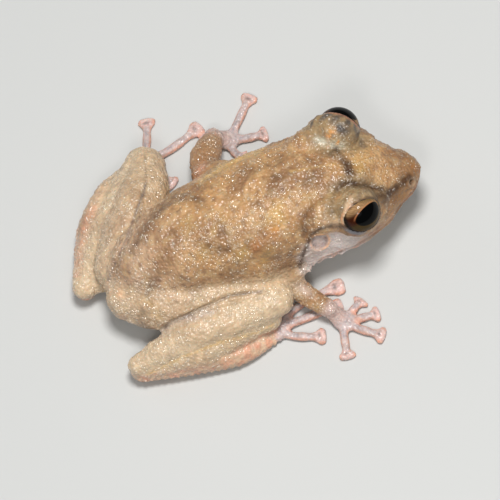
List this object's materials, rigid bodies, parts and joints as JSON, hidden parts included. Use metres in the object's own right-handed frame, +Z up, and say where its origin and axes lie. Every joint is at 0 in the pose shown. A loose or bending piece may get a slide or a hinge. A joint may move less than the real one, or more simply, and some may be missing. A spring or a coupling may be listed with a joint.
{
  "type": "frog",
  "caption": "Small tree frog at life size, sitting with its hind legs folded: blunt snout, large eyes, and fingers and toes that end in wide discs.",
  "frame": {"origin": "on the floor, at the middle of the flat that the belly rests on, below the middle of the trunk", "axes": "+X forward along the trunk, from the vent to the neck; +Y to the frog's left; +Z up, away from the floor it sits on"},
  "size_m": [0.0415, 0.0375, 0.0145],
  "materials": {
    "torso": "damp granular skin, tan-brown",
    "head": "damp granular skin, tan-brown",
    "lower_jaw": "damp granular skin, pale lilac-grey",
    "eye_left": "wet and glossy, dark",
    "tympanum_left": "thin damp skin, orange-pink",
    "upper_arm_left": "damp granular skin, greenish tan",
    "forearm_left": "damp granular skin, greenish tan",
    "hand_left": "smooth damp skin, pink-orange",
    "shank_left": "damp granular skin, greenish tan",
    "thigh_left": "damp granular skin, greenish tan",
    "foot_left": "damp granular skin, greenish tan",
    "finger_1_left": "smooth damp skin, pink-orange",
    "finger_2_left": "smooth damp skin, pink-orange",
    "finger_3_left": "smooth damp skin, pink-orange",
    "finger_4_left": "smooth damp skin, pink-orange",
    "toe_1_left": "smooth damp skin, pink-orange",
    "toe_2_left": "smooth damp skin, pink-orange",
    "toe_3_left": "smooth damp skin, pink-orange",
    "toe_4_left": "smooth damp skin, pink-orange",
    "toe_5_left": "smooth damp skin, pink-orange",
    "eye_right": "wet and glossy, dark",
    "tympanum_right": "thin damp skin, orange-pink",
    "upper_arm_right": "damp granular skin, greenish tan",
    "forearm_right": "damp granular skin, greenish tan",
    "hand_right": "smooth damp skin, pink-orange",
    "shank_right": "damp granular skin, greenish tan",
    "thigh_right": "damp granular skin, greenish tan",
    "foot_right": "damp granular skin, greenish tan",
    "finger_1_right": "smooth damp skin, pink-orange",
    "finger_2_right": "smooth damp skin, pink-orange",
    "finger_3_right": "smooth damp skin, pink-orange",
    "finger_4_right": "smooth damp skin, pink-orange",
    "toe_1_right": "smooth damp skin, pink-orange",
    "toe_2_right": "smooth damp skin, pink-orange",
    "toe_3_right": "smooth damp skin, pink-orange",
    "toe_4_right": "smooth damp skin, pink-orange",
    "toe_5_right": "smooth damp skin, pink-orange"
  },
  "bodies": {
    "root": {"torso": "torso", "head": "head", "lower_jaw": "lower_jaw", "eye_left": "eye_left", "tympanum_left": "tympanum_left", "upper_arm_left": "upper_arm_left", "forearm_left": "forearm_left", "hand_left": "hand_left", "shank_left": "shank_left", "thigh_left": "thigh_left", "foot_left": "foot_left", "finger_1_left": "finger_1_left", "finger_2_left": "finger_2_left", "finger_3_left": "finger_3_left", "finger_4_left": "finger_4_left", "toe_1_left": "toe_1_left", "toe_2_left": "toe_2_left", "toe_3_left": "toe_3_left", "toe_4_left": "toe_4_left", "toe_5_left": "toe_5_left", "eye_right": "eye_right", "tympanum_right": "tympanum_right", "upper_arm_right": "upper_arm_right", "forearm_right": "forearm_right", "hand_right": "hand_right", "shank_right": "shank_right", "thigh_right": "thigh_right", "foot_right": "foot_right", "finger_1_right": "finger_1_right", "finger_2_right": "finger_2_right", "finger_3_right": "finger_3_right", "finger_4_right": "finger_4_right", "toe_1_right": "toe_1_right", "toe_2_right": "toe_2_right", "toe_3_right": "toe_3_right", "toe_4_right": "toe_4_right", "toe_5_right": "toe_5_right"}
  },
  "joints": []
}
